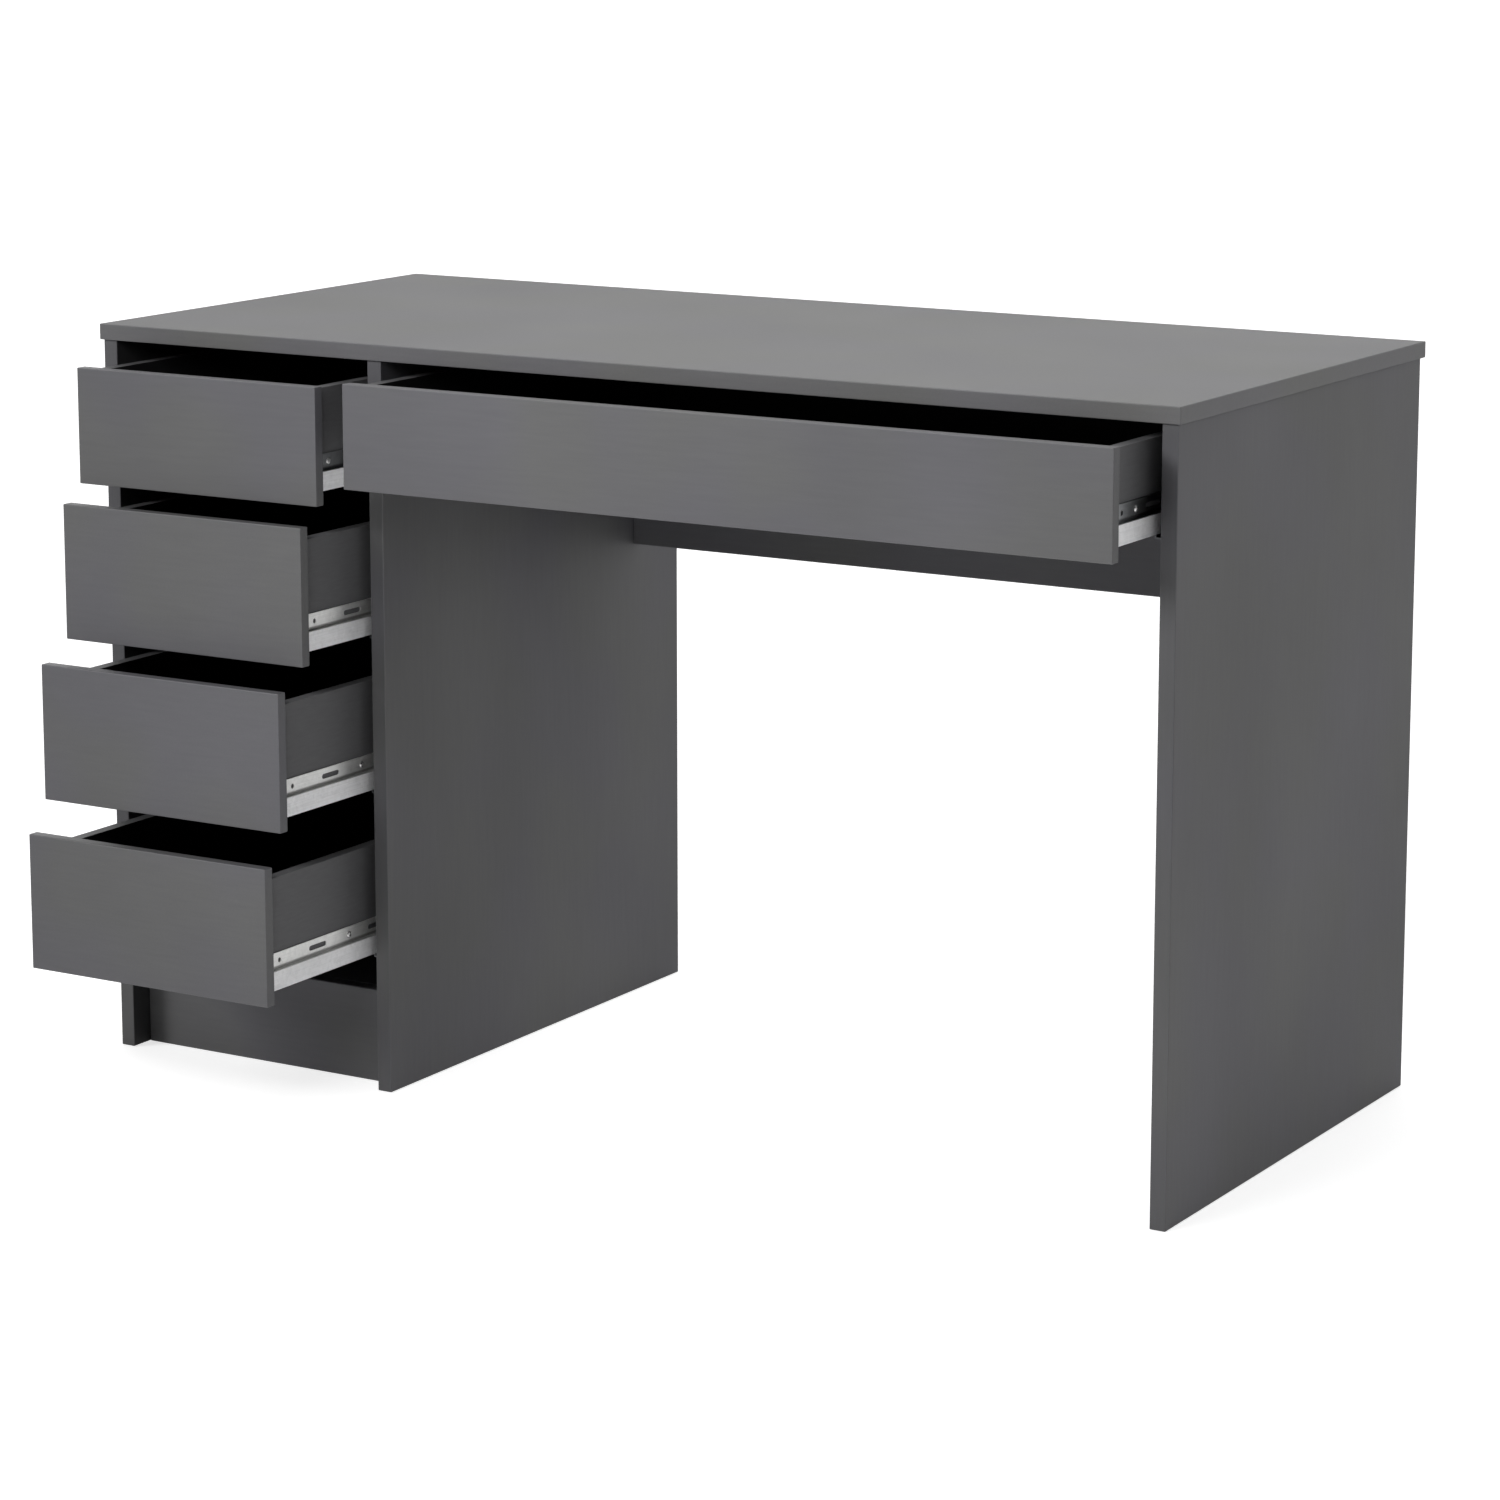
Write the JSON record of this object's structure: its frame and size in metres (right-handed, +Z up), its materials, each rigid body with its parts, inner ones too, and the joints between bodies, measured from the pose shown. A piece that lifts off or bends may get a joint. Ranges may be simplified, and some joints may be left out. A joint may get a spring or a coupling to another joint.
{
  "type": "writing desk with drawers",
  "caption": "Rectangular melamine writing desk with panel legs, a drawer pedestal on the left and a wide drawer over the knee space, shown with the drawers part open.",
  "frame": {"origin": "on the floor, under the centre of the bounding box with the drawers pulled out as at rest", "axes": "+Z up; +X to the sitter's right, along the worktop's long side; -Y towards the sitter, the way the drawers pull out"},
  "size_m": [1.2, 0.714, 0.75],
  "materials": {
    "anthracite": "matt anthracite melamine on chipboard, with matching edge banding",
    "drawer_lining": "matt dark grey foil on chipboard",
    "hardboard": "dark grey lacquered hardboard",
    "zinc_steel": "bright zinc-plated sheet steel"
  },
  "bodies": {
    "carcass": {"desk_top": "anthracite", "left_side_panel": "anthracite", "pedestal_partition": "anthracite", "right_side_panel": "anthracite", "pedestal_bottom": "anthracite", "plinth": "anthracite", "modesty_panel": "anthracite", "pedestal_back": "hardboard", "pedestal_drawer_1_cabinet_runner_left": "zinc_steel", "pedestal_drawer_1_cabinet_runner_right": "zinc_steel", "pedestal_drawer_2_cabinet_runner_left": "zinc_steel", "pedestal_drawer_2_cabinet_runner_right": "zinc_steel", "pedestal_drawer_3_cabinet_runner_left": "zinc_steel", "pedestal_drawer_3_cabinet_runner_right": "zinc_steel", "pedestal_drawer_4_cabinet_runner_left": "zinc_steel", "pedestal_drawer_4_cabinet_runner_right": "zinc_steel", "wide_drawer_cabinet_runner_left": "zinc_steel", "wide_drawer_cabinet_runner_right": "zinc_steel"},
    "pedestal_drawer_1": {"pedestal_drawer_1_front": "anthracite", "pedestal_drawer_1_side_left": "drawer_lining", "pedestal_drawer_1_side_right": "drawer_lining", "pedestal_drawer_1_rear": "drawer_lining", "pedestal_drawer_1_bottom": "hardboard", "pedestal_drawer_1_runner_left": "zinc_steel", "pedestal_drawer_1_runner_right": "zinc_steel"},
    "pedestal_drawer_2": {"pedestal_drawer_2_front": "anthracite", "pedestal_drawer_2_side_left": "drawer_lining", "pedestal_drawer_2_side_right": "drawer_lining", "pedestal_drawer_2_rear": "drawer_lining", "pedestal_drawer_2_bottom": "hardboard", "pedestal_drawer_2_runner_left": "zinc_steel", "pedestal_drawer_2_runner_right": "zinc_steel"},
    "pedestal_drawer_3": {"pedestal_drawer_3_front": "anthracite", "pedestal_drawer_3_side_left": "drawer_lining", "pedestal_drawer_3_side_right": "drawer_lining", "pedestal_drawer_3_rear": "drawer_lining", "pedestal_drawer_3_bottom": "hardboard", "pedestal_drawer_3_runner_left": "zinc_steel", "pedestal_drawer_3_runner_right": "zinc_steel"},
    "pedestal_drawer_4": {"pedestal_drawer_4_front": "anthracite", "pedestal_drawer_4_side_left": "drawer_lining", "pedestal_drawer_4_side_right": "drawer_lining", "pedestal_drawer_4_rear": "drawer_lining", "pedestal_drawer_4_bottom": "hardboard", "pedestal_drawer_4_runner_left": "zinc_steel", "pedestal_drawer_4_runner_right": "zinc_steel"},
    "wide_drawer": {"wide_drawer_front": "anthracite", "wide_drawer_side_left": "drawer_lining", "wide_drawer_side_right": "drawer_lining", "wide_drawer_rear": "drawer_lining", "wide_drawer_bottom": "hardboard", "wide_drawer_runner_left": "zinc_steel", "wide_drawer_runner_right": "zinc_steel"}
  },
  "joints": [
    {"name": "pedestal_drawer_1_slide", "type": "slide", "parent": "carcass", "child": "pedestal_drawer_1", "axis": [0, -1, 0], "range_m": [-0.074, 0.226]},
    {"name": "pedestal_drawer_2_slide", "type": "slide", "parent": "carcass", "child": "pedestal_drawer_2", "axis": [0, -1, 0], "range_m": [-0.101, 0.199]},
    {"name": "pedestal_drawer_3_slide", "type": "slide", "parent": "carcass", "child": "pedestal_drawer_3", "axis": [0, -1, 0], "range_m": [-0.141, 0.159]},
    {"name": "pedestal_drawer_4_slide", "type": "slide", "parent": "carcass", "child": "pedestal_drawer_4", "axis": [0, -1, 0], "range_m": [-0.167, 0.133]},
    {"name": "wide_drawer_slide", "type": "slide", "parent": "carcass", "child": "wide_drawer", "axis": [0, -1, 0], "range_m": [-0.076, 0.224]}
  ]
}
